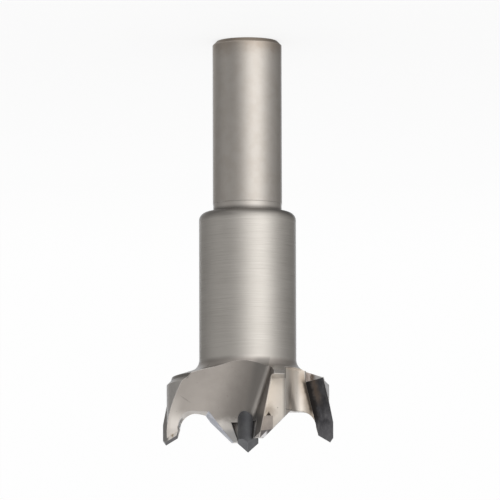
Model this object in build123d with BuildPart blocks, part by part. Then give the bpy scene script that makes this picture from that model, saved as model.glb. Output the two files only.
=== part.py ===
from build123d import *
import os
from math import cos, degrees, radians, sin, tan, atan

# A carbide tipped boring bit for wood. It stands on the flat end of its shank, with the cutting head up.
# It has two wings, turned half a circle apart, and turns counter-clockwise seen from above the head.
# Everything about a wing is drawn on the one along +X, whose cutting face looks along +Y.
# Lengths are in millimetres. A drop is how far a place lies below the very tip of the centre point.

# Shank
shank_radius = 5.0
shank_length = 25.0
end_bevel = 0.6
relief_depth = 0.06
relief_length = 1.2

# Collar
collar_radius = 7.0
shoulder_round = 1.15

# Head, turned as a disc that flares out of the collar
overall_length = 59.8
land_step = 0.7
land_drop = 9.7
rim_chamfer = 0.6
rim_step = 0.15
rim_height = 0.5
cone_angle = 18.4
neck_fillet = 1.8
steel_drop = 1.8

# Cutting edges of a wing, seen square to it
centre_edge_reach = 2.85
centre_edge_angle = 44.4
centre_relief_slope = 0.25
arch_radius = 2.35
arch_slope = 0.05
arch_flat = 0.62
spur_width = 2.5
spur_corner_step = 0.34
spur_corner_drop = 2.27
spur_tip_inset = 0.45
spur_tip_drop = 1.25
spur_outer_angle = 55.0
spur_relief_slope = 0.3
cutting_radius = 12.4
side_relief_slope = 0.18

# Front of a wing, where the chips gather
rake_ahead = 0.15
web_front = 3.5
core_radius = 6.9
groove_radius = 1.8
groove_reach = 5.35
groove_drop = 11.8
ceiling_drop = 10.23
front_mill_reach = 2.27
front_mill_drop = 2.1
front_mill_lean_angle = 11.4
front_mill_skew_angle = 8.0
ridge_angle = 7.5

# Back of a wing, one trough milled at a slant
trough_drop = 6.0
trough_start_reach = -0.784
trough_start_ahead = -1.898
trough_end_reach = 9.307
trough_end_ahead = -4.021
trough_rise = 1.5
trough_corner = 2.0
trough_corner_angle = 49.1
trough_slope_outward = 0.489
trough_slope_forward = 0.9

# Outer carbide tips
outer_lean_angle = 13.4
outer_width = 2.65
outer_length = 8.0
outer_lean_drop = 4.2
outer_edge_angle = 11.2
outer_thickness = 1.15
outer_run_out = 3.0

# Inner carbide tips, and the open slot behind each
inner_start = 2.1
inner_end = 4.1
inner_drop = 4.9
inner_thickness = 1.0
slot_start = 1.2
slot_end = 2.45
slot_end_at_tip = 1.75
slot_drop = 4.4

# Centre point
pin_radius = 1.5
pin_length = 13.0
point_angle = 96.4
point_faces = 4
point_turn = -8.0

# Reach of a milling cut that runs out into the open
clear = 20.0


def up(drop):
    """Height above the shank's end of a place that lies this far below the very tip."""
    return overall_length - drop


def wing_plane(ahead):
    """Upright plane along the +X wing, this far ahead of the axis, drawn on as x outward and y up."""
    return Plane(origin=(0, ahead, 0), x_dir=(1, 0, 0), z_dir=(0, -1, 0))


land_radius = cutting_radius - land_step
spur_inner_reach = cutting_radius - spur_width
centre_edge_end = spur_inner_reach - arch_radius - arch_flat
arch_drop = steel_drop + (centre_edge_end - centre_edge_reach) * tan(radians(centre_edge_angle))
spur_corner_reach = spur_inner_reach + spur_corner_step
spur_tip_reach = cutting_radius - spur_tip_inset
rim_radius = land_radius - rim_chamfer - rim_step
rim_chamfer_drop = land_drop + rim_chamfer
rim_drop = rim_chamfer_drop + rim_height
neck_drop = rim_drop + (rim_radius - collar_radius) * tan(radians(cone_angle))
front_direction = (sin(radians(front_mill_skew_angle)), cos(radians(front_mill_skew_angle)), 0)
arch_direction = (0, -1, -arch_slope)
spur_direction = (0, -1, -spur_relief_slope)
centre_edge_direction = (-centre_relief_slope / tan(radians(centre_edge_angle)), -1, -arch_slope)


def edge_region():
    """Everything beyond the cutting edges of a wing: flat, slanted inner edge, arch and outer spur."""
    bevel_drop = spur_tip_drop + (clear - spur_tip_reach) * tan(radians(spur_outer_angle))
    with BuildSketch(wing_plane(rake_ahead)) as region:
        with BuildLine():
            Polyline(
                (0, up(-clear)),
                (0, up(steel_drop)),
                (centre_edge_reach, up(steel_drop)),
                (centre_edge_end, up(arch_drop)),
                (spur_inner_reach - arch_radius, up(arch_drop)),
            )
            arch = JernArc((spur_inner_reach - arch_radius, up(arch_drop)), (1, 0), arch_radius, 90)
            Polyline(
                arch @ 1,
                (spur_corner_reach, up(spur_corner_drop)),
                (spur_tip_reach, up(spur_tip_drop)),
                (clear, up(bevel_drop)),
                (clear, up(-clear)),
                (0, up(-clear)),
            )
        make_face()
    return region.sketch


def centre_edge_region():
    """Everything beyond the slanted inner cutting edge, up to the height of the arch."""
    rise = tan(radians(centre_edge_angle))
    arch_drop_here = arch_drop - arch_slope * (web_front - rake_ahead)
    top_x = centre_edge_reach + (arch_drop_here - steel_drop) / rise
    foot_x = centre_edge_reach - steel_drop / rise
    with BuildSketch(wing_plane(web_front)) as region:
        with BuildLine():
            Polyline(
                (foot_x, up(0)),
                (top_x, up(arch_drop_here)),
                (centre_edge_end + arch_flat + arch_radius / 2, up(arch_drop_here)),
                (centre_edge_end + arch_flat + arch_radius / 2, up(0)),
                close=True,
            )
        make_face()
    return region.sketch


def spur_end_region():
    """Everything beyond the end of the spur, for the relief behind its cutting edges."""
    bevel_drop = spur_tip_drop + (clear - spur_tip_reach) * tan(radians(spur_outer_angle))
    with BuildSketch(wing_plane(rake_ahead)) as region:
        with BuildLine():
            Polyline(
                (spur_inner_reach, up(arch_drop - arch_radius)),
                (spur_corner_reach, up(spur_corner_drop)),
                (spur_tip_reach, up(spur_tip_drop)),
                (clear, up(bevel_drop)),
                (clear, up(-clear)),
                (spur_inner_reach, up(-clear)),
                close=True,
            )
        make_face()
    return region.sketch


def outer_tip_outline(length):
    """Slanted bar that the outer tip is cut from, from its inner corner back along the spur."""
    lean = radians(outer_lean_angle)
    back = Vector(-sin(lean), -cos(lean))
    side = Vector(cos(lean), -sin(lean))
    corner = Vector(spur_corner_reach, up(spur_corner_drop))
    overshoot = outer_width
    with BuildSketch(wing_plane(rake_ahead)) as outline:
        with BuildLine():
            Polyline(
                corner - back * overshoot,
                corner + back * length,
                corner + back * length + side * outer_width,
                corner - back * overshoot + side * outer_width,
                close=True,
            )
        make_face()
    return outline.sketch


# What is milled away for one wing: the trough behind it and the gullet, arch and pockets in front
with BuildPart() as wing_cuts:
    with BuildSketch(Plane.XY.offset(up(trough_drop))) as trough:
        with BuildLine():
            start = (trough_start_reach, trough_start_ahead)
            floor = SagittaArc(start, (trough_end_reach, trough_end_ahead), trough_rise)
            corner = JernArc(start, -(floor % 0), trough_corner, trough_corner_angle)
            run_out = Line(floor @ 1, floor @ 1 + (floor % 1) * clear)
            wall = Line(corner @ 1, corner @ 1 + (corner % 1) * clear)
            Polyline(wall @ 1, (clear, -2 * clear), run_out @ 1)
        make_face()
    extrude(amount=clear, dir=(trough_slope_outward, trough_slope_forward, 1), both=True)

    with BuildSketch(wing_plane(web_front)) as front_mill:
        with BuildLine():
            lean = tan(radians(front_mill_lean_angle))
            low = (front_mill_reach + lean * (ceiling_drop - front_mill_drop), up(ceiling_drop))
            high = (front_mill_reach + lean * (-clear - front_mill_drop), up(-clear))
            Polyline(low, high, (clear, up(-clear)), (clear, up(ceiling_drop)), close=True)
        make_face()
    extrude(amount=clear, dir=front_direction)

    with BuildSketch(Plane.XY.offset(up(groove_drop))) as groove:
        with BuildLine():
            groove_start = Vector(groove_reach, rake_ahead)
            Polyline(
                groove_start,
                groove_start + Vector(*front_direction) * clear,
                (2 * clear, clear),
                (2 * clear, rake_ahead),
                close=True,
            )
        make_face()
        Circle(core_radius, mode=Mode.SUBTRACT)
        fillet(groove.vertices().group_by(Axis.Y)[0].sort_by(Axis.X)[0], groove_radius)
    extrude(amount=clear)

    with BuildSketch(Plane.YZ.offset(-clear)) as ridge_end:
        with BuildLine():
            Polyline(
                (web_front, up(steel_drop)),
                (web_front + clear, up(steel_drop) - clear * tan(radians(ridge_angle))),
                (web_front + clear, up(0)),
                (web_front, up(0)),
                close=True,
            )
        make_face()
    extrude(amount=2 * clear)

    extrude(edge_region(), amount=clear, dir=arch_direction, both=True)
    extrude(centre_edge_region(), amount=clear, dir=centre_edge_direction, both=True)
    extrude(spur_end_region(), amount=clear, dir=spur_direction)

    extrude(outer_tip_outline(outer_length + outer_run_out), amount=outer_thickness)

    with BuildSketch(wing_plane(web_front)) as inner_pocket:
        with Locations((inner_start, up(inner_drop))):
            Rectangle(inner_end - inner_start, clear, align=(Align.MIN, Align.MIN))
    extrude(amount=inner_thickness)

    with BuildSketch(wing_plane(web_front - inner_thickness)) as slot:
        with BuildLine():
            Polyline(
                (slot_start, up(slot_drop)),
                (slot_end, up(slot_drop)),
                (slot_end_at_tip, up(steel_drop)),
                (slot_end_at_tip, up(0)),
                (slot_start, up(0)),
                close=True,
            )
        make_face()
    extrude(amount=clear / 2)


# Steel body, turned from one bar with shank, collar and head, then milled
with BuildPart() as body:
    with BuildSketch(Plane.XZ) as turning:
        with BuildLine():
            Polyline(
                (0, 0),
                (shank_radius - end_bevel, 0),
                (shank_radius, end_bevel),
                (shank_radius, shank_length - relief_length),
                (shank_radius - relief_depth, shank_length - relief_length),
                (shank_radius - relief_depth, shank_length),
                (collar_radius, shank_length),
                (collar_radius, up(neck_drop)),
                (rim_radius, up(rim_drop)),
                (rim_radius + rim_step, up(rim_chamfer_drop)),
                (land_radius, up(land_drop)),
                (land_radius, up(steel_drop)),
                (0, up(steel_drop)),
                close=True,
            )
        make_face()
        fillet(turning.vertices().sort_by_distance((collar_radius, shank_length, 0))[0], shoulder_round)
        fillet(turning.vertices().sort_by_distance((collar_radius, up(neck_drop), 0))[0], neck_fillet)
    revolve(axis=Axis.Z)
    with PolarLocations(0, 2):
        add(wing_cuts.part, mode=Mode.SUBTRACT)
    with Locations((0, 0, overall_length)):
        Hole(pin_radius, pin_length)


# Outer carbide tip of the +X wing, brazed into the slanted pocket at its end
with BuildPart() as outer_tip:
    extrude(outer_tip_outline(outer_length), amount=outer_thickness)
    extrude(edge_region(), amount=clear, dir=arch_direction, both=True, mode=Mode.SUBTRACT)
    extrude(spur_end_region(), amount=clear, dir=spur_direction, mode=Mode.SUBTRACT)
    with BuildSketch(wing_plane(rake_ahead)) as beyond:
        with BuildLine():
            Polyline(
                (cutting_radius, up(-clear)),
                (cutting_radius, up(outer_lean_drop)),
                (cutting_radius - clear * tan(radians(outer_edge_angle)), up(outer_lean_drop + clear)),
                (2 * clear, up(outer_lean_drop + clear)),
                (2 * clear, up(-clear)),
                close=True,
            )
        make_face()
    extrude(amount=clear, dir=(-side_relief_slope, -1, 0), both=True, mode=Mode.SUBTRACT)


# Inner carbide tip of the +X wing, brazed into the front of the web beside the centre point
with BuildPart() as inner_tip:
    with BuildSketch(wing_plane(web_front)):
        with Locations((inner_start, up(inner_drop))):
            Rectangle(inner_end - inner_start, inner_drop - steel_drop, align=(Align.MIN, Align.MIN))
    extrude(amount=inner_thickness)
    extrude(centre_edge_region(), amount=clear, dir=centre_edge_direction, both=True, mode=Mode.SUBTRACT)


# Centre point, a round carbide pin with a four-sided tip
with BuildPart() as centre_point:
    with Locations((0, 0, up(pin_length))):
        Cylinder(pin_radius, pin_length, align=(Align.CENTER, Align.CENTER, Align.MIN))
    half_corner = 180 / point_faces
    face_slope = degrees(atan(tan(radians(point_angle / 2)) * cos(radians(half_corner))))
    for face in range(point_faces):
        bearing = radians(point_turn + half_corner + face * 360 / point_faces)
        outward = cos(radians(face_slope))
        normal = (outward * cos(bearing), outward * sin(bearing), sin(radians(face_slope)))
        split(bisect_by=Plane(origin=(0, 0, overall_length), z_dir=normal), keep=Keep.BOTTOM)


os.makedirs("parts", exist_ok=True)
body.part.label = "body"
export_step(body.part, "parts/body.step")
centre_point.part.label = "centre_point"
export_step(centre_point.part, "parts/centre_point.step")
for letter, turn in (("a", 0), ("b", 180)):
    with BuildPart() as turned_outer_tip:
        add(outer_tip.part, rotation=(0, 0, turn))
    turned_outer_tip.part.label = f"outer_tip_{letter}"
    export_step(turned_outer_tip.part, f"parts/outer_tip_{letter}.step")

    with BuildPart() as turned_inner_tip:
        add(inner_tip.part, rotation=(0, 0, turn))
    turned_inner_tip.part.label = f"inner_tip_{letter}"
    export_step(turned_inner_tip.part, f"parts/inner_tip_{letter}.step")
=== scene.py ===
from math import cos, radians, sin

import bmesh
import bpy
from mathutils import Matrix, Vector

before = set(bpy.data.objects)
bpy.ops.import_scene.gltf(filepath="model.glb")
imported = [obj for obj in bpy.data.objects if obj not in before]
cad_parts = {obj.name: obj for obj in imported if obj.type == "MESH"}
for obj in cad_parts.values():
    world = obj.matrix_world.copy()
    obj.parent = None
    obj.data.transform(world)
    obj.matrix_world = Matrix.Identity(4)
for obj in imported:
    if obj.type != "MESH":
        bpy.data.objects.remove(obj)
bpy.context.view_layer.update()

MM = 0.001
MM_PER_METRE = 1000
TIP_HEIGHT = 59.8 * MM
MIDDLE = Vector((0, 0, 32 * MM))


# Camera, at the photograph's viewing angle: square to the wings but for a small turn, from the tip's side.
# The photograph shows the bit with its head down, so the camera hangs upside down.
VIEW_TURN = radians(-8.0)
VIEW_RISE = radians(7.5)
VIEW_LEAN = radians(0.15)
VIEW_DISTANCE = 1.35
IMAGE_SIDE = 500
PIXELS_PER_MM = 6.95
TIP_PIXEL = (248.05, 452.7)
SENSOR_WIDTH = 36.0
CLIP_START, CLIP_END = 0.05, 20.0


def aim_camera():
    """Place the camera, and return its directions to the right, up and back."""
    back = Vector((sin(VIEW_TURN) * cos(VIEW_RISE), -cos(VIEW_TURN) * cos(VIEW_RISE), sin(VIEW_RISE)))
    right = Vector((0, 0, 1)).cross(back).normalized()
    up = back.cross(right).normalized()
    rolled_right = -right * cos(VIEW_LEAN) + up * sin(VIEW_LEAN)
    rolled_up = -up * cos(VIEW_LEAN) - right * sin(VIEW_LEAN)

    data = bpy.data.cameras.new("camera")
    data.sensor_width = SENSOR_WIDTH
    data.lens = SENSOR_WIDTH * VIEW_DISTANCE / (IMAGE_SIDE / PIXELS_PER_MM * MM)
    data.clip_start = CLIP_START
    data.clip_end = CLIP_END
    camera = bpy.data.objects.new("camera", data)
    bpy.context.scene.collection.objects.link(camera)

    tip_right = (TIP_PIXEL[0] - IMAGE_SIDE / 2) / PIXELS_PER_MM * MM
    tip_up = (IMAGE_SIDE / 2 - TIP_PIXEL[1]) / PIXELS_PER_MM * MM
    target = Vector((0, 0, TIP_HEIGHT)) - rolled_right * tip_right - rolled_up * tip_up
    turn = Matrix((rolled_right, rolled_up, back)).transposed().to_4x4()
    camera.matrix_world = Matrix.Translation(target + back * VIEW_DISTANCE) @ turn
    bpy.context.scene.camera = camera
    return rolled_right, rolled_up, back


view_right, view_up, view_back = aim_camera()


class Nodes:
    """Short ways to wire a material's nodes."""

    def __init__(self, name):
        self.material = bpy.data.materials.new(name)
        self.material.use_nodes = True
        self.nodes = self.material.node_tree.nodes
        self.links = self.material.node_tree.links
        self.shader = self.nodes["Principled BSDF"]
        self.place = self.nodes.new("ShaderNodeTexCoord").outputs["Object"]
        self.x, self.y, self.z = self.parts(self.place)
        squares = self.sum(self.times(self.y, self.y), (self.x, self.x))
        self.radius = self.in_mm(self.math("SQRT", squares))

    def put(self, value, socket):
        if hasattr(value, "is_output"):
            self.links.new(value, socket)
        elif hasattr(value, "__len__") and len(value) == 3 and socket.type == "RGBA":
            socket.default_value = (*value, 1)
        else:
            socket.default_value = value

    def math(self, operation, a, b=0.0, c=0.0):
        node = self.nodes.new("ShaderNodeMath")
        node.operation = operation
        for value, socket in zip((a, b, c), node.inputs):
            self.put(value, socket)
        return node.outputs[0]

    def times(self, *values):
        product = values[0]
        for value in values[1:]:
            product = self.math("MULTIPLY", product, value)
        return product

    def sum(self, total, *terms):
        """The total and every term's factor x value."""
        for factor, value in terms:
            total = self.math("MULTIPLY_ADD", value, factor, total)
        return total

    def in_mm(self, metres):
        return self.times(metres, MM_PER_METRE)

    def parts(self, vector):
        split = self.nodes.new("ShaderNodeSeparateXYZ")
        self.links.new(vector, split.inputs[0])
        return split.outputs

    def point(self, x, y, z):
        node = self.nodes.new("ShaderNodeCombineXYZ")
        for value, socket in zip((x, y, z), node.inputs):
            self.put(value, socket)
        return node.outputs[0]

    def dot(self, a, b):
        node = self.nodes.new("ShaderNodeVectorMath")
        node.operation = "DOT_PRODUCT"
        self.put(a, node.inputs[0])
        self.put(b, node.inputs[1])
        return node.outputs["Value"]

    def distance(self, spot, a, b):
        """How far the point (a, b) is from the spot."""
        across = self.math("SUBTRACT", a, spot[0])
        along = self.math("SUBTRACT", b, spot[1])
        return self.math("SQRT", self.sum(self.times(along, along), (across, across)))

    def step(self, value, start, end):
        """0 where value is at start, 1 where it is at end, smooth between."""
        node = self.nodes.new("ShaderNodeMapRange")
        node.interpolation_type = "SMOOTHSTEP"
        self.put(value, node.inputs["Value"])
        node.inputs["From Min"].default_value = start
        node.inputs["From Max"].default_value = end
        return node.outputs["Result"]

    def band(self, value, low, high, soft):
        """1 between low and high, 0 outside, with soft sides."""
        rise = self.step(value, low - soft, low + soft)
        fall = self.step(value, high + soft, high - soft)
        return self.times(rise, fall)

    def mix(self, share, a, b):
        """Colour a where the share is 0, colour b where it is 1."""
        node = self.nodes.new("ShaderNodeMix")
        node.data_type = "RGBA"
        self.put(share, node.inputs[0])
        self.put(a, node.inputs[6])
        self.put(b, node.inputs[7])
        return node.outputs[2]

    def grey_mix(self, share, a, b):
        node = self.nodes.new("ShaderNodeMix")
        self.put(share, node.inputs[0])
        self.put(a, node.inputs[2])
        self.put(b, node.inputs[3])
        return node.outputs[0]

    def noise(self, scale, detail, rough, stretch=None, at=None):
        node = self.nodes.new("ShaderNodeTexNoise")
        node.inputs["Scale"].default_value = scale
        node.inputs["Detail"].default_value = detail
        node.inputs["Roughness"].default_value = rough
        place = at or self.place
        if stretch:
            mapping = self.nodes.new("ShaderNodeMapping")
            mapping.inputs["Scale"].default_value = stretch
            self.put(place, mapping.inputs["Vector"])
            place = mapping.outputs[0]
        self.put(place, node.inputs["Vector"])
        return node.outputs[0]

    def bump(self, height, distance, strength, under):
        """A normal with the height laid over the normal under it."""
        node = self.nodes.new("ShaderNodeBump")
        node.inputs["Strength"].default_value = strength
        node.inputs["Distance"].default_value = distance
        self.put(height, node.inputs["Height"])
        self.put(under, node.inputs["Normal"])
        return node.outputs[0]


# Worn edges: samples of the bevel node, and the cosines between its normal and the flat one that mark an edge
BEVEL_SAMPLES = 6
EDGE_COSINE = (0.995, 0.9)

# Slanted planes of the head in millimetres: where each starts, and how it moves with the other places
SIDE_CUT, SIDE_CUT_PER_DROP, SIDE_CUT_PER_AHEAD = 1.35, 0.2016, 0.1405
SLOPE, SLOPE_PER_REACH, SLOPE_PER_FORWARD = 0.06, 0.979, -0.30
SLOPE_BAND = (-0.06, 0.06, 0.03)
INNER_EDGE = -0.99
TIP_EDGE, TIP_EDGE_PER_DROP = 10.78, -0.2382
SLOT_WALL, SLOT_WALL_PER_DROP = 1.27, 0.27


class BitNodes(Nodes):
    """Nodes of the bit's own materials: places on its wings, and paint laid over paint.

    The wings are alike, half a turn apart, so places are measured in millimetres in a wing's own frame. Out
    and ahead belong to the wing whose front the point faces, reach and forward to the wing it is on the side
    of, drop is measured down from the tip, and height up from the end of the shank.
    """

    def __init__(self, name):
        super().__init__(name)
        side_y, side_x = self.math("SIGN", self.y), self.math("SIGN", self.x)
        self.out = self.in_mm(self.times(self.x, side_y))
        self.ahead = self.in_mm(self.math("ABSOLUTE", self.y))
        self.reach = self.in_mm(self.math("ABSOLUTE", self.x))
        self.forward = self.in_mm(self.times(self.y, side_x))
        self.drop = self.in_mm(self.math("SUBTRACT", TIP_HEIGHT, self.z))
        self.height = self.in_mm(self.z)
        self.colour = None

    def within(self, value, limit):
        """A mask of the value: a (start, end) step, or a (low, high, soft) band."""
        return (self.step if len(limit) == 2 else self.band)(value, *limit)

    def where(self, **limits):
        """1 where every named place is within its limits."""
        return self.times(*[self.within(getattr(self, name), limit) for name, limit in limits.items()])

    def ragged(self, value, noise, push, limit):
        """1 where the value is within its limits, once the noise has pushed it so far."""
        return self.within(self.sum(value, (push, noise)), limit)

    def lay(self, under, mask, tint, strength):
        """A tint over the colour under it: where the mask is, and so strongly."""
        share = mask if strength == 1.0 else self.times(mask, strength)
        return self.mix(share, under, tint)

    def paint(self, mask, tint, strength=1.0):
        self.colour = self.lay(self.colour, mask, tint, strength)

    def on_ground_slope(self):
        """The slope that is ground behind each centre edge, over the steel and the inner tip alike."""
        above = self.sum(
            -SLOPE, (1, self.drop), (-SLOPE_PER_REACH, self.reach), (-SLOPE_PER_FORWARD, self.forward)
        )
        return self.band(above, *SLOPE_BAND)

    def past_tip_edge(self, out):
        """How far out a point is from the leaning inner edge of the outer tip."""
        return self.sum(-TIP_EDGE, (1, out), (-TIP_EDGE_PER_DROP, self.drop))

    def worn_edges(self, radius):
        """The rounded-edge normal, and a mask of the edges themselves."""
        bevel = self.nodes.new("ShaderNodeBevel")
        bevel.samples = BEVEL_SAMPLES
        bevel.inputs["Radius"].default_value = radius
        rounded = bevel.outputs[0]
        flat = self.nodes.new("ShaderNodeNewGeometry").outputs["Normal"]
        return rounded, self.step(self.dot(rounded, flat), *EDGE_COSINE)

    def finish(self, roughness, normal):
        self.put(self.colour, self.shader.inputs["Base Color"])
        self.shader.inputs["Metallic"].default_value = 1.0
        self.put(roughness, self.shader.inputs["Roughness"])
        self.put(normal, self.shader.inputs["Normal"])


# Noise on the steel: scale per metre, detail, roughness and, for some, how the place is stretched
TURNED_RINGS = (8200, 3, 0.65, (0.022, 0.022, 1))
GROUND_RINGS = (9000, 2, 0.5)
GRAIN = (5200, 3, 0.6)
CLOUD = (260, 3, 0.55)
SMUDGE = (620, 4, 0.6)
SPECKS = (1300, 2, 0.5)
TROUGH_MARKS = (1500, 2, 0.6, (1.6, 0.9, 0.35))
FRONT_MARKS = (3600, 2, 0.5, (0.12, 1, 1))

# Steel that runs from one tint to another, as linear red, green and blue
PLAIN_STEEL = ((0.57, 0.55, 0.52), (0.66, 0.64, 0.61))
TROUGH = ((0.33, 0.305, 0.285), (0.41, 0.385, 0.365))
RUBBED = ((0.62, 0.62, 0.62), (0.84, 0.81, 0.78))
FRONT = ((0.79, 0.745, 0.69), (0.90, 0.855, 0.80))
# Painted shade on the ceiling above the front
CEILING_SHADE = ((0.26, 0.25, 0.24), (0.45, 0.435, 0.42))
SPUR = ((0.70, 0.67, 0.64), (0.80, 0.765, 0.73))
# Painted bluish reflection on the ground slope, streaked between these two tints
SLOPE_REFLECTION = ((0.34, 0.36, 0.42), (0.50, 0.52, 0.58))
SHANK = ((0.58, 0.55, 0.52), (0.52, 0.48, 0.44))
POCKET_FLOOR = ((0.66, 0.585, 0.545), (0.17, 0.135, 0.11))
# How strongly the ceiling's painted shade covers
CEILING_SHADE_STRENGTH = 0.9
SHANK_STRENGTH = 0.6

# Paints on the steel: a tint, and how strongly it covers
# Painted shading of the trough, lighter outwards, and painted shade at its end
TROUGH_LIGHT_OUTWARDS = ((0.47, 0.44, 0.415), 0.45)
TROUGH_END_SHADE = ((0.25, 0.24, 0.23), 0.7)
# Painted shadow in the slot, and painted shade on the flank and the side next to the pin
SLOT_SHADOW = ((0.12, 0.115, 0.11), 1.0)
FLANK_SHADE = ((0.11, 0.10, 0.10), 0.7)
PIN_SIDE_SHADE = ((0.11, 0.105, 0.105), 0.5)
# Painted shade at the front's foot and along its outer edge
FRONT_FOOT_SHADE = ((0.50, 0.48, 0.45), 0.35)
EDGE_SHADE = ((0.30, 0.29, 0.275), 0.85)
# Painted highlight towards the wing's rim
RIM_HIGHLIGHT = ((0.72, 0.69, 0.65), 0.45)
OUTER_SIDE = ((0.80, 0.785, 0.77), 0.7)
# Painted shade on the shoulder's bevel, and a darker band on the cone's rim
SHOULDER_SHADE = ((0.16, 0.155, 0.15), 0.5)
CONE_RIM = ((0.13, 0.125, 0.12), 0.85)
SMOKE = ((0.30, 0.26, 0.22), 0.6)
NOTCH = ((0.06, 0.05, 0.045), 1.0)
SPECK = ((0.12, 0.105, 0.09), 0.4)
SCRATCH = ((0.14, 0.13, 0.12), 0.32)
LIGHT_RING = ((0.84, 0.82, 0.79), 0.30)
DARK_RING = ((0.40, 0.38, 0.35), 0.36)
SHANK_RELIEF = ((0.70, 0.68, 0.65), 0.3)
# Painted shade in the shank's corners by the collar and at its end
CORNER_SHADE = ((0.19, 0.18, 0.17), 0.95)
SHANK_STAIN = ((0.36, 0.29, 0.23), 0.6)
GROOVE_SHADE = ((0.16, 0.15, 0.145), 0.62)
ARCH_LIP = ((0.24, 0.225, 0.21), 0.5)
HEAT_TINT = ((0.33, 0.255, 0.185), 0.75)
OUTER_FLANK = ((0.47, 0.48, 0.50), 1.0)
WALL_SOOT = ((0.09, 0.075, 0.06), 0.85)
POCKET_OUTER = ((0.46, 0.455, 0.455), 1.0)
SEAM = ((0.05, 0.04, 0.033), 0.9)
WORN_STEEL = ((0.86, 0.85, 0.83), 0.5)

# Ragged edges on the steel: how far noise pushes the place, and the limits it is then held to
RUBBED_EDGE = (2.4, (6.8, 5.0))
SMOKE_EDGE = (1.6, (2.3, 0.9))
NOTCH_EDGE = (0.7, (1.3, 0.9))
SCRATCH_EDGE = (0.7, (0.85, 0.6))
STAIN_EDGE = (5.0, (5.6, 2.6))
HEAT_EDGE = (1.2, (-1.5, 0.5))
WALL_SOOT_EDGE = (1.2, (4.0, 5.6, 0.25))
BURNT_EDGE = (0.9, (9.25, 9.6))
POCKET_OUTER_EDGE = (0.9, (9.65, 10.35))
SEAM_EDGE = (0.5, (-0.35, 0.0))

# Noise and other masks: the values between which they go from 0 to 1
SLOPE_SMUDGE = (0.46, 0.6)
SHANK_SMUDGE = (0.35, 0.7)
SPECK_NOISE = (0.70, 0.76)
RING_CREST = (0.0, 0.5)
RING_HOLLOW = (0.0, -0.5)
NOT_INSIDE = (0.6, 0.4)

# Small forms that are only painted, in millimetres
SLOT_WALL_EDGE = (0.05, 0.02)
OUTER_SIDE_PER_FORWARD = -0.18
OUTER_SIDE_EDGE = (12.28, 12.16)
SPUR_OUTER_FADE = -0.5
SMOKE_SPOT = (3.55, 5.6)
NOTCH_MIDDLE, NOTCH_TOP, NOTCH_PER_OUT, NOTCH_PER_DROP = 3.5, -7.0, 2.4, 1.4
SCRATCH_LINE, SCRATCH_PER_REACH, SCRATCH_PER_DROP = 4.17, 2.5, -3.42
SCRATCH_SPOT = (0.0, 7.35)
SHADE_LINE, SHADE_PER_OUT, SHADE_PER_AHEAD, SHADE_PER_DROP = -7.767, 0.99, -0.139, 0.2
SHADE_WIDTH = (0.66, 0.1)
SPUR_WALL_PER_DROP = 0.34
SPUR_WALL_EDGE = (11.36, 11.2)
SHANK_RING_SHARE = 0.45
# How much of the worn edges' paint gives way in the painted shade at the trough's end
WEAR_LOST_IN_TROUGH_SHADE = -0.85

# Roughness of the steel, and what grain, the milled head, rings and the groove's side add to it
STEEL_ROUGHNESS = 0.30
GRAIN_ROUGHNESS = 0.10
HEAD_ROUGHNESS = 0.04
RING_ROUGHNESS = 0.06
GROOVE_ROUGHNESS = 0.2

# Radius of the steel's worn edges and depths of its bumps, in metres, with the bumps' strengths
STEEL_EDGE_RADIUS = 0.00009
RING_BUMP = (0.00004, 0.5)
MARK_BUMP = (0.00003, 0.25)
GRAIN_BUMP = (0.000006, 0.3)
GROUND_RING_DEPTH = 0.3


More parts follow.
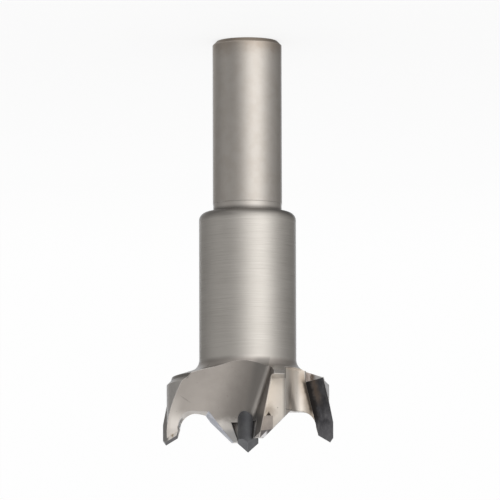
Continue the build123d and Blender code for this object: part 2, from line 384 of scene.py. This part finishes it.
class Steel(BitNodes):
    """The body: a ground shank, a turned collar and a milled head."""

    def __init__(self):
        super().__init__("steel")
        self.past_plane = self.sum(
            -SIDE_CUT, (1, self.out), (-SIDE_CUT_PER_DROP, self.drop), (-SIDE_CUT_PER_AHEAD, self.ahead)
        )
        self.past_tip = self.past_tip_edge(self.out)

        # Which stretch of the body a point is on
        self.shank = self.where(height=(25.1, 24.9))
        self.collar = self.where(height=(25.2, 45.4, 0.3))
        self.head = self.where(drop=(13.4, 12.6))
        on_wing = self.where(radius=(6.8, 6.88), ahead=(0.08, 0.12))
        on_web = self.where(ahead=(3.40, 3.46))
        in_front = self.where(past_plane=(-0.12, -0.02), drop=(11.9, 11.8))
        self.front = self.times(in_front, self.math("MAXIMUM", on_web, on_wing))
        # Painted shade at the trough's end by the side cut
        self.trough_end_shade = self.times(
            self.where(past_plane=(-3.4, -2.2)), self.where(past_plane=(-0.65, -0.85)), self.head
        )

        self.turned_rings = self.noise(*TURNED_RINGS)
        self.grain = self.noise(*GRAIN)
        self.smudge = self.noise(*SMUDGE)
        rings_here = self.sum(self.collar, (SHANK_RING_SHARE, self.shank))
        self.rings = self.times(self.sum(-1.0, (2.0, self.turned_rings)), rings_here)

        self.colour = self.mix(self.noise(*CLOUD), *PLAIN_STEEL)
        self.paint_trough()
        self.paint_beside_pin()
        self.paint_front()
        self.paint_rim_and_spur()
        self.paint_bevels_and_slope()
        self.paint_brazing_smoke()
        self.paint_nicks()
        self.paint_rings()
        self.paint_shank()
        self.paint_groove()
        self.paint_outer_seat()
        seam = self.paint_seam()

        rounded, edge = self.worn_edges(STEEL_EDGE_RADIUS)
        # Less worn-edge paint where the trough's end is in painted shade
        kept_wear = self.sum(1.0, (WEAR_LOST_IN_TROUGH_SHADE, self.trough_end_shade))
        edge = self.times(edge, self.math("SUBTRACT", 1.0, seam), kept_wear)
        self.paint(edge, *WORN_STEEL)
        self.finish(self.roughness(), self.marks(rounded))

    def paint_trough(self):
        """Back of the wing: painted shading, lighter outwards and darker towards the middle, and painted
        shade at the end by the side cut.
        """
        tint = self.mix(self.smudge, *TROUGH)
        # Painted shading: lighter outwards, darker towards the middle
        tint = self.lay(tint, self.where(reach=(4.5, 7.5)), *TROUGH_LIGHT_OUTWARDS)
        self.paint(self.head, tint)
        # Painted shade at the trough's end
        self.paint(self.trough_end_shade, *TROUGH_END_SHADE)

    def paint_beside_pin(self):
        """Rubbed steel at the foot of the trough, painted shadow in the slot, and painted shade on the sides
        next to the pin.
        """
        at_foot = self.where(radius=(5.2, 4.0), forward=(3.3, 3.0))
        rubbed = self.times(self.ragged(self.drop, self.smudge, *RUBBED_EDGE), at_foot)
        self.paint(rubbed, self.mix(self.where(drop=(3.0, 3.8)), *RUBBED))

        past_wall = self.sum(-SLOT_WALL, (1, self.reach), (-SLOT_WALL_PER_DROP, self.drop))
        in_slot = self.where(drop=(4.46, 4.42), forward=(2.6, 2.4))
        # Painted shadow in the slot
        self.paint(self.times(self.step(past_wall, *SLOT_WALL_EDGE), in_slot), *SLOT_SHADOW)

        # Painted shade on the flank next to the pin
        flank_shade = self.where(past_plane=(-0.12, 0.03, 0.03), ahead=(2.6, 3.0), drop=(6.0, 4.4))
        self.paint(flank_shade, *FLANK_SHADE)
        # Painted shade on the side next to the pin
        pin_side_shade = self.where(past_plane=(0.0, -0.15), ahead=(3.4, 3.8), drop=(5.4, 4.2), out=(0.2, 0.4))
        self.paint(self.times(pin_side_shade, self.where(past_plane=(-1.3, -1.0))), *PIN_SIDE_SHADE)

    def paint_front(self):
        """Front of the wing and the web: bright milled steel, with painted shade on the ceiling, at the foot
        and along the outer edge.
        """
        tint = self.mix(self.smudge, *FRONT)
        ceiling_shade_tint = self.mix(self.where(out=(4.2, 5.2)), *CEILING_SHADE)
        # Painted shade on the ceiling
        ceiling_shade = self.where(drop=(10.1, 10.22), ahead=(3.5, 3.6))
        tint = self.lay(tint, ceiling_shade, ceiling_shade_tint, CEILING_SHADE_STRENGTH)
        # Painted shade at the foot
        tint = self.lay(tint, self.where(drop=(5.2, 3.6)), *FRONT_FOOT_SHADE)
        self.paint(self.front, tint)
        # Painted shade along the outer edge
        edge_shade = self.where(out=(5.4, 5.95), ahead=(3.42, 3.6, 0.03))
        self.paint(self.times(edge_shade, self.front), *EDGE_SHADE)

    def paint_rim_and_spur(self):
        """Painted highlight towards the wing's rim, and lighter steel towards the spur's thin end and on the
        wing's outer side.
        """
        leaning = self.sum(self.radius, (OUTER_SIDE_PER_FORWARD, self.forward))
        inside = self.math("MAXIMUM", self.step(leaning, *OUTER_SIDE_EDGE), self.where(radius=(11.69, 11.62)))
        # Painted highlight towards the wing's rim
        rim_highlight = self.where(radius=(9.6, 11.2), forward=(-0.2, -0.8), drop=(8.4, 5.8))
        self.paint(self.times(rim_highlight, inside), *RIM_HIGHLIGHT)

        spur = self.times(self.where(drop=(6.2, 4.2), radius=(8.6, 9.4)), inside)
        spur = self.times(spur, self.sum(1.0, (SPUR_OUTER_FADE, self.where(radius=(11.0, 11.6)))))
        self.paint(spur, self.mix(self.where(drop=(3.2, 3.7)), *SPUR))
        outside = self.times(self.where(radius=(10.9, 11.3)), self.step(inside, *NOT_INSIDE), self.head)
        self.paint(outside, *OUTER_SIDE)

    def paint_bevels_and_slope(self):
        """Painted shade on the bevel at the wing's shoulder, a darker band on the cone's rim, and a painted
        bluish reflection with streaks on the slope behind the centre edge.
        """
        # Painted shade on the shoulder's bevel
        shoulder_shade = self.where(radius=(10.85, 10.95), drop=(9.95, 10.05), forward=(-0.5, -1.0))
        self.paint(shoulder_shade, *SHOULDER_SHADE)
        cone_rim = self.where(radius=(10.75, 10.85), drop=(10.28, 10.36), forward=(5.0, 6.0))
        self.paint(cone_rim, *CONE_RIM)

        # Painted bluish reflection on the slope behind the centre edge, with streaks
        slope_reflection = self.times(self.on_ground_slope(), self.where(reach=(8.0, 7.5), drop=(6.0, 5.9)))
        self.paint(slope_reflection, self.mix(self.step(self.smudge, *SLOPE_SMUDGE), *SLOPE_REFLECTION))

    def paint_brazing_smoke(self):
        """Smoke from the brazing above each inner tip, and the burnt notch in its middle."""
        on_flat = self.times(self.where(ahead=(3.62, 3.56)), self.front)
        from_spot = self.distance(SMOKE_SPOT, self.out, self.drop)
        self.paint(self.times(self.ragged(from_spot, self.smudge, *SMOKE_EDGE), on_flat), *SMOKE)

        off_middle = self.math("ABSOLUTE", self.math("SUBTRACT", self.out, NOTCH_MIDDLE))
        notch = self.sum(NOTCH_TOP, (NOTCH_PER_OUT, off_middle), (NOTCH_PER_DROP, self.drop))
        notch = self.ragged(notch, self.grain, *NOTCH_EDGE)
        self.paint(self.times(notch, self.where(drop=(4.8, 4.95)), on_flat), *NOTCH)

    def paint_nicks(self):
        """A few small dark nicks on the head, and a short scratch in the trough."""
        specks = self.times(self.step(self.noise(*SPECKS), *SPECK_NOISE), self.head)
        self.paint(specks, *SPECK)

        off_line = self.sum(SCRATCH_LINE, (SCRATCH_PER_REACH, self.reach), (SCRATCH_PER_DROP, self.drop))
        from_middle = self.distance(SCRATCH_SPOT, off_line, self.drop)
        scratch = self.ragged(from_middle, self.grain, *SCRATCH_EDGE)
        self.paint(self.times(scratch, self.where(forward=(-3, -4)), self.head), *SCRATCH)

    def paint_rings(self):
        """Turning rings: strong on the collar, faint on the shank."""
        self.paint(self.step(self.rings, *RING_CREST), *LIGHT_RING)
        self.paint(self.step(self.rings, *RING_HOLLOW), *DARK_RING)

    def paint_shank(self):
        """Ground shank: a little warmer, with painted shade in its corners, and brown stains round its end.
        """
        self.paint(self.shank, self.mix(self.step(self.smudge, *SHANK_SMUDGE), *SHANK), SHANK_STRENGTH)
        self.paint(self.where(height=(23.9, 25.2, 0.15)), *SHANK_RELIEF)
        # Painted shade in the corner by the collar and at the shank's end
        collar_corner_shade = self.times(self.where(height=(24.2, 24.9)), self.where(height=(26.6, 25.35)))
        corner_shade = self.math("MAXIMUM", collar_corner_shade, self.where(height=(0.6, 0.35)))
        self.paint(corner_shade, *CORNER_SHADE)
        stained = self.ragged(self.height, self.smudge, *STAIN_EDGE)
        self.paint(self.times(stained, self.shank), *SHANK_STAIN)

    def paint_groove(self):
        """A leaning shade along the groove in the front of the wing, and a darker band on the lip of the
        arch.
        """
        off_line = self.sum(
            SHADE_LINE, (SHADE_PER_OUT, self.out), (SHADE_PER_AHEAD, self.ahead), (SHADE_PER_DROP, self.drop)
        )
        shade = self.step(self.math("ABSOLUTE", off_line), *SHADE_WIDTH)
        self.paint(self.times(shade, self.where(drop=(9.5, 7.0)), self.front), *GROOVE_SHADE)
        lip = self.where(drop=(5.75, 5.90, 0.02), out=(5.9, 8.2, 0.1))
        self.paint(self.times(lip, self.front), *ARCH_LIP)

    def paint_outer_seat(self):
        """Round the outer tips: heat tint, the outer flank, soot in the joint, and the pocket's floor."""
        heated = self.ragged(self.past_tip, self.smudge, *HEAT_EDGE)
        near_tip = self.where(ahead=(1.4, 0.2), drop=(13.0, 10.5), out=(6.6, 7.2), past_tip=(2.6, 2.2))
        self.paint(self.times(heated, near_tip, self.head), *HEAT_TINT)
        self.paint(self.times(self.where(past_tip=(2.2, 2.6)), self.front), *OUTER_FLANK)

        # Soot in the joint on the spur's inner wall
        wall = self.step(self.sum(self.reach, (SPUR_WALL_PER_DROP, self.drop)), *SPUR_WALL_EDGE)
        sooty = self.ragged(self.drop, self.grain, *WALL_SOOT_EDGE)
        on_wall = self.where(reach=(9.2, 9.4), forward=(-1.75, -0.07, 0.03))
        self.paint(self.times(wall, sooty, on_wall), *WALL_SOOT)

        # Floor of the pocket above the tip: pinkish, with a burnt hollow in the middle
        tint = self.mix(self.ragged(self.reach, self.grain, *BURNT_EDGE), *POCKET_FLOOR)
        tint = self.lay(tint, self.ragged(self.reach, self.grain, *POCKET_OUTER_EDGE), *POCKET_OUTER)
        self.paint(self.where(forward=(-1.06, -0.94, 0.03), drop=(9.6, 9.9), radius=(7.6, 7.9)), tint)

    def paint_seam(self):
        """Dark seam of braze and flux along the upper part of each outer tip."""
        seam = self.ragged(self.past_tip, self.smudge, *SEAM_EDGE)
        seam = self.times(seam, self.where(drop=(5.6, 10.2, 0.5), past_tip=(2.6, 2.2)), self.front)
        self.paint(seam, *SEAM)
        return seam

    def roughness(self):
        groove_side = self.where(out=(6.45, 6.75), radius=(7.3, 7.05), ahead=(0.08, 0.12))
        return self.sum(
            STEEL_ROUGHNESS,
            (GRAIN_ROUGHNESS, self.grain),
            (HEAD_ROUGHNESS, self.head),
            (RING_ROUGHNESS, self.rings),
            (GROOVE_ROUGHNESS, self.times(groove_side, self.front)),
        )

    def marks(self, normal):
        """Tool marks over the rounded edges: rings below the head, milling on it, and grain everywhere."""
        ground_rings = self.noise(*GROUND_RINGS, at=self.point(0.0, 0.0, self.z))
        ring_height = self.times(ground_rings, self.shank, GROUND_RING_DEPTH)
        ring_height = self.sum(ring_height, (self.turned_rings, self.collar))
        normal = self.bump(ring_height, *RING_BUMP, normal)
        front_marks = self.noise(*FRONT_MARKS, at=self.point(self.x, 0.0, self.z))
        head_marks = self.grey_mix(self.front, self.noise(*TROUGH_MARKS), front_marks)
        normal = self.bump(self.times(head_marks, self.head), *MARK_BUMP, normal)
        return self.bump(self.grain, *GRAIN_BUMP, normal)


# Carbide, with its noise, tints, paints, edges and bumps given as they are for the steel
CARBIDE_GRAIN = (6000, 3, 0.6)
CARBIDE_CLOUD = (700, 4, 0.6)
CARBIDE_PATCHES = (1500, 3, 0.6)
CARBIDE_GRINDING = (4200, 2, 0.5, (1, 1, 0.08))
CARBIDE_MOTTLE = (2300, 4, 0.65, (1, 1, 0.4))

CENTRE_CARBIDE = ((0.14, 0.145, 0.157), (0.19, 0.196, 0.208))
OUTER_CARBIDE = ((0.065, 0.065, 0.072), (0.12, 0.12, 0.13))
INNER_CARBIDE = ((0.36, 0.33, 0.315), (0.46, 0.43, 0.41))
SMEARED_BRAZE = ((0.42, 0.35, 0.26), (0.82, 0.79, 0.75))

# Painted shade for the inner tips' ground facet, a painted bluish reflection on their top, and a painted
# highlight along their edge
FACET_SHADE = ((0.18, 0.175, 0.18), 1.0)
INNER_TOP_REFLECTION = ((0.44, 0.46, 0.51), 1.0)
EDGE_HIGHLIGHT = ((0.84, 0.86, 0.92), 1.0)
DARK_MOTTLE = ((0.035, 0.034, 0.036), 0.45)
LIGHT_MOTTLE = ((0.19, 0.185, 0.19), 0.35)
BROWN_STREAK = ((0.185, 0.135, 0.10), 0.75)
DARK_TOP = ((0.035, 0.035, 0.036), 0.45)
TIP_SOOT = ((0.02, 0.018, 0.017), 0.92)
CLEAN_END = ((0.2, 0.2, 0.215), 0.5)
SMEARED_OUTER = ((0.24, 0.235, 0.23), 1.0)
WORN_CARBIDE = ((0.42, 0.42, 0.44), 0.45)

CLOUD_SPAN = (0.3, 0.7)
DARK_MOTTLE_NOISE = (0.50, 0.60)
LIGHT_MOTTLE_NOISE = (0.46, 0.36)
SMEAR_NOISE = (0.38, 0.52)
STREAK_EDGE = (0.8, (1.15, 2.0, 0.4))
TIP_SOOT_EDGE = (0.8, (1.45, 0.85))
# Where the facet's painted shade and the edge's painted highlight lie
FACET_PER_REACH = -0.1
FACET_DROP = (2.62, 2.5)
EDGE_HIGHLIGHT_WIDTH = (0.64, 0.52)

CENTRE_ROUGHNESS = 0.50
OUTER_ROUGHNESS = 0.26
INNER_ROUGHNESS = 0.3
CLOUD_ROUGHNESS = 0.2
CARBIDE_EDGE_RADIUS = 0.00007
GRINDING_BUMP = (0.00001, 0.3)
CARBIDE_GRAIN_BUMP = (0.000005, 0.3)


class Carbide(BitNodes):
    """Sintered carbide, ground: dark grey, with painted shade, reflection and highlight on the inner tips'
    facets and soot on the outer ones.
    """

    def __init__(self, name, tints, roughness, sooty=False, facet_shading=False):
        super().__init__(name)
        cloud = self.noise(*CARBIDE_CLOUD)
        self.colour = self.mix(self.step(cloud, *CLOUD_SPAN), *tints)
        if facet_shading:
            self.paint_facet_shading()
        if sooty:
            self.paint_soot()
        rounded, edge = self.worn_edges(CARBIDE_EDGE_RADIUS)
        self.paint(edge, *WORN_CARBIDE)
        normal = self.bump(self.noise(*CARBIDE_GRINDING), *GRINDING_BUMP, rounded)
        normal = self.bump(self.noise(*CARBIDE_GRAIN), *CARBIDE_GRAIN_BUMP, normal)
        self.finish(self.sum(roughness, (CLOUD_ROUGHNESS, cloud)), normal)

    def paint_facet_shading(self):
        """Inner tips: painted shade for a ground facet along the front, a painted bluish reflection on the
        top, and a painted highlight along the ground edge.
        """
        on_front = self.where(forward=(3.44, 3.48))
        # Painted shade standing in for a ground facet along the front
        facet_shade = self.step(self.sum(self.drop, (FACET_PER_REACH, self.reach)), *FACET_DROP)
        self.paint(self.times(facet_shade, on_front), *FACET_SHADE)
        # Painted bluish reflection on the top
        self.paint(self.times(self.on_ground_slope(), self.where(forward=(3.46, 3.42))), *INNER_TOP_REFLECTION)
        # Painted highlight along the ground edge
        above_edge = self.sum(-INNER_EDGE, (1, self.drop), (-SLOPE_PER_REACH, self.reach))
        edge_highlight = self.times(self.step(above_edge, *EDGE_HIGHLIGHT_WIDTH), self.where(reach=(3.4, 3.0)), on_front)
        self.paint(edge_highlight, *EDGE_HIGHLIGHT)

    def paint_soot(self):
        """Outer tips: mottled, sooty and brown towards the seat, cleaner at the end, braze on the back."""
        mottle = self.noise(*CARBIDE_MOTTLE)
        self.paint(self.step(mottle, *DARK_MOTTLE_NOISE), *DARK_MOTTLE)
        self.paint(self.step(mottle, *LIGHT_MOTTLE_NOISE), *LIGHT_MOTTLE)

        patches = self.noise(*CARBIDE_PATCHES)
        past_edge = self.past_tip_edge(self.reach)
        streak = self.ragged(past_edge, patches, *STREAK_EDGE)
        self.paint(self.times(streak, self.where(drop=(6.2, 8.0))), *BROWN_STREAK)
        self.paint(self.where(drop=(4.5, 7.5)), *DARK_TOP)
        soot = self.ragged(past_edge, patches, *TIP_SOOT_EDGE)
        self.paint(self.times(soot, self.where(drop=(3.6, 5.2))), *TIP_SOOT)
        self.paint(self.where(drop=(4.5, 2.0)), *CLEAN_END)

        tint = self.mix(self.step(patches, *SMEAR_NOISE), *SMEARED_BRAZE)
        tint = self.lay(tint, self.where(radius=(11.3, 11.7)), *SMEARED_OUTER)
        self.paint(self.where(forward=(-0.88, -0.96), radius=(12.25, 12.15)), tint)


FINISHES = {
    "body": Steel(),
    "centre_point": Carbide("centre carbide", CENTRE_CARBIDE, CENTRE_ROUGHNESS),
    "outer_tip": Carbide("outer carbide", OUTER_CARBIDE, OUTER_ROUGHNESS, sooty=True),
    "inner_tip": Carbide("inner carbide", INNER_CARBIDE, INNER_ROUGHNESS, facet_shading=True),
}


def dress():
    """Give each node its material. The tips' names end with the letter of their wing."""
    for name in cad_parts:
        finish = FINISHES.get(name) or FINISHES[name.rsplit("_", 1)[0]]
        materials = bpy.data.objects[name].data.materials
        materials.clear()
        materials.append(finish.material)


dress()


# Plain pale floor and world: white to the camera and in the metal, with the bit's shadow kept on the floor
FLOOR_REACH = 3.0
FLOOR_TINT = (0.92, 0.92, 0.92)
FLOOR_ROUGHNESS = 0.8
WHITE_NEAR, WHITE_FAR = 0.80, 0.95
WHITE_FROM_MM = (30, 260)
WORLD_LIGHT = 0.85
WHITE = 1.0


def background_share(nodes, links):
    """1 for what the camera, a reflection or a refraction sees."""
    rays = nodes.new("ShaderNodeLightPath").outputs
    share = rays["Is Camera Ray"]
    for kind in ("Is Glossy Ray", "Is Transmission Ray"):
        either = nodes.new("ShaderNodeMath")
        either.operation = "MAXIMUM"
        links.new(share, either.inputs[0])
        links.new(rays[kind], either.inputs[1])
        share = either.outputs[0]
    return share


def make_floor():
    reach = FLOOR_REACH
    corners = [(-reach, -reach, 0), (reach, -reach, 0), (reach, reach, 0), (-reach, reach, 0)]
    mesh = bpy.data.meshes.new("floor")
    mesh.from_pydata(corners, [], [(0, 1, 2, 3)])
    floor = bpy.data.objects.new("floor", mesh)
    bpy.context.scene.collection.objects.link(floor)
    tree = Nodes("floor")
    tree.put(FLOOR_TINT, tree.shader.inputs["Base Color"])
    tree.shader.inputs["Roughness"].default_value = FLOOR_ROUGHNESS
    white = tree.nodes.new("ShaderNodeEmission")
    white.inputs["Strength"].default_value = WHITE
    blend = tree.nodes.new("ShaderNodeMixShader")
    near_bit = tree.sum(WHITE_NEAR, (WHITE_FAR - WHITE_NEAR, tree.step(tree.radius, *WHITE_FROM_MM)))
    share = tree.times(background_share(tree.nodes, tree.links), near_bit)
    tree.links.new(share, blend.inputs[0])
    tree.links.new(tree.shader.outputs[0], blend.inputs[1])
    tree.links.new(white.outputs[0], blend.inputs[2])
    tree.links.new(blend.outputs[0], tree.nodes["Material Output"].inputs[0])
    mesh.materials.append(tree.material)
    floor.visible_glossy = False


def make_world():
    world = bpy.data.worlds.new("world")
    bpy.context.scene.world = world
    world.use_nodes = True
    nodes, links = world.node_tree.nodes, world.node_tree.links
    background = nodes["Background"]
    background.inputs["Color"].default_value = (1, 1, 1, 1)
    level = nodes.new("ShaderNodeMapRange")
    level.inputs["To Min"].default_value = WORLD_LIGHT
    level.inputs["To Max"].default_value = WHITE
    links.new(background_share(nodes, links), level.inputs["Value"])
    links.new(level.outputs[0], background.inputs["Strength"])


make_floor()
make_world()


# Light tent round the bit, in the camera's own directions: degrees to the right of the camera, and the parts
# of a unit direction to the right, up and back. Pairs and triples are as in the materials.
TENT_RADIUS = 0.16
TENT_SMOOTHNESS = 4
TENT_DIM = 0.25
TENT_WARM = (1, 0.975, 0.945)
TENT_COOL = (0.92, 0.96, 1)
KEY_TURN = 28.5
KEY_WIDTH = 39.0
KEY_UP = (1.1, 0.3)
KEY_LEVEL = 1.02
LEFT_TURN = (-100, -15, 35)
LEFT_UP = (-0.35, 0.35, 0.2)
LEFT_LEVEL = 0.21
BEHIND_BACK = (-0.85, -0.94)
BEHIND_UP = (0.5, 0.2)
BEHIND_LEVEL = 0.7
BELOW_UP = (-0.45, -0.9)
BELOW_RIGHT = (-0.50, -0.12)
BELOW_LEVEL = 0.12
E = 2.718

# Round soft patches of the tent: the way to the middle, the cosine at which the patch begins, and its level
PATCHES = (
    ((0.57, -0.79, -0.17), 0.75, 0.5),
    ((-0.69, -0.69, -0.22), 0.9, 2.2),
    ((0.0, -0.5, -0.866), 0.85, 0.8),
    ((0.2, 0.92, 0.33), 0.47, 0.75),
    ((-0.71, 0.70, 0.0), 0.86, 0.22),
    ((-0.4, 0.5, -0.77), 0.8, 0.27),
    ((0.87, 0.47, -0.1), 0.8, 0.12),
)


def tent_glow(tree):
    """How brightly the tent glows at a point, and the mask of its cooler side behind the bit."""
    unit = tree.nodes.new("ShaderNodeVectorMath")
    unit.operation = "NORMALIZE"
    tree.links.new(tree.place, unit.inputs[0])
    way = unit.outputs[0]
    right, up, back = tree.parts(way)
    turned = tree.math("DEGREES", tree.math("ARCTAN2", right, back))

    off_key = tree.math("DIVIDE", tree.math("SUBTRACT", turned, KEY_TURN), KEY_WIDTH)
    key = tree.math("POWER", E, tree.times(off_key, off_key, -1))
    key = tree.times(key, tree.step(up, *KEY_UP))
    left = tree.times(tree.band(turned, *LEFT_TURN), tree.band(up, *LEFT_UP))
    behind = tree.times(tree.step(back, *BEHIND_BACK), tree.step(up, *BEHIND_UP))
    below = tree.times(tree.step(up, *BELOW_UP), tree.step(right, *BELOW_RIGHT))
    lobes = [(KEY_LEVEL, key), (LEFT_LEVEL, left), (BEHIND_LEVEL, behind), (BELOW_LEVEL, below)]
    for middle, start, level in PATCHES:
        lobes.append((level, tree.step(tree.dot(way, middle), start, 1.0)))
    return tree.sum(TENT_DIM, *lobes), behind


def make_tent():
    """Sphere that only the metal sees: bright to the right of the camera, dim at the sides."""
    mesh = bpy.data.meshes.new("tent")
    shape = bmesh.new()
    bmesh.ops.create_icosphere(shape, subdivisions=TENT_SMOOTHNESS, radius=TENT_RADIUS)
    shape.to_mesh(mesh)
    shape.free()
    tent = bpy.data.objects.new("tent", mesh)
    bpy.context.scene.collection.objects.link(tent)
    turn = Matrix((view_right, view_up, view_back)).transposed().to_4x4()
    tent.matrix_world = Matrix.Translation(MIDDLE) @ turn

    tree = Nodes("tent")
    tree.nodes.remove(tree.shader)
    level, behind = tent_glow(tree)
    glow = tree.nodes.new("ShaderNodeEmission")
    tree.put(tree.mix(behind, TENT_WARM, TENT_COOL), glow.inputs["Color"])
    tree.links.new(level, glow.inputs["Strength"])
    tree.links.new(glow.outputs[0], tree.nodes["Material Output"].inputs[0])
    mesh.materials.append(tree.material)
    tent.visible_camera = False
    tent.visible_diffuse = False
    tent.visible_shadow = False


# Soft key lamp, seen from the bit to the right of the camera and above it
LAMP_RIGHT = radians(30)
LAMP_UP = radians(20)
LAMP_DISTANCE = 0.7
LAMP_SIZE = 0.35
LAMP_WATTS = 2.0
LAMP_TINT = (1, 0.985, 0.96)


def make_lamp():
    data = bpy.data.lights.new("key", "AREA")
    data.shape = "RECTANGLE"
    data.size = data.size_y = LAMP_SIZE
    data.energy = LAMP_WATTS
    data.color = LAMP_TINT
    lamp = bpy.data.objects.new("key", data)
    bpy.context.scene.collection.objects.link(lamp)
    level = view_back * cos(LAMP_RIGHT) + view_right * sin(LAMP_RIGHT)
    way = (level * cos(LAMP_UP) + view_up * sin(LAMP_UP)).normalized()
    lamp.location = MIDDLE + way * LAMP_DISTANCE
    lamp.rotation_euler = way.to_track_quat("Z", "Y").to_euler()
    lamp.visible_glossy = False


make_tent()
make_lamp()

bpy.context.scene.view_settings.view_transform = "Standard"
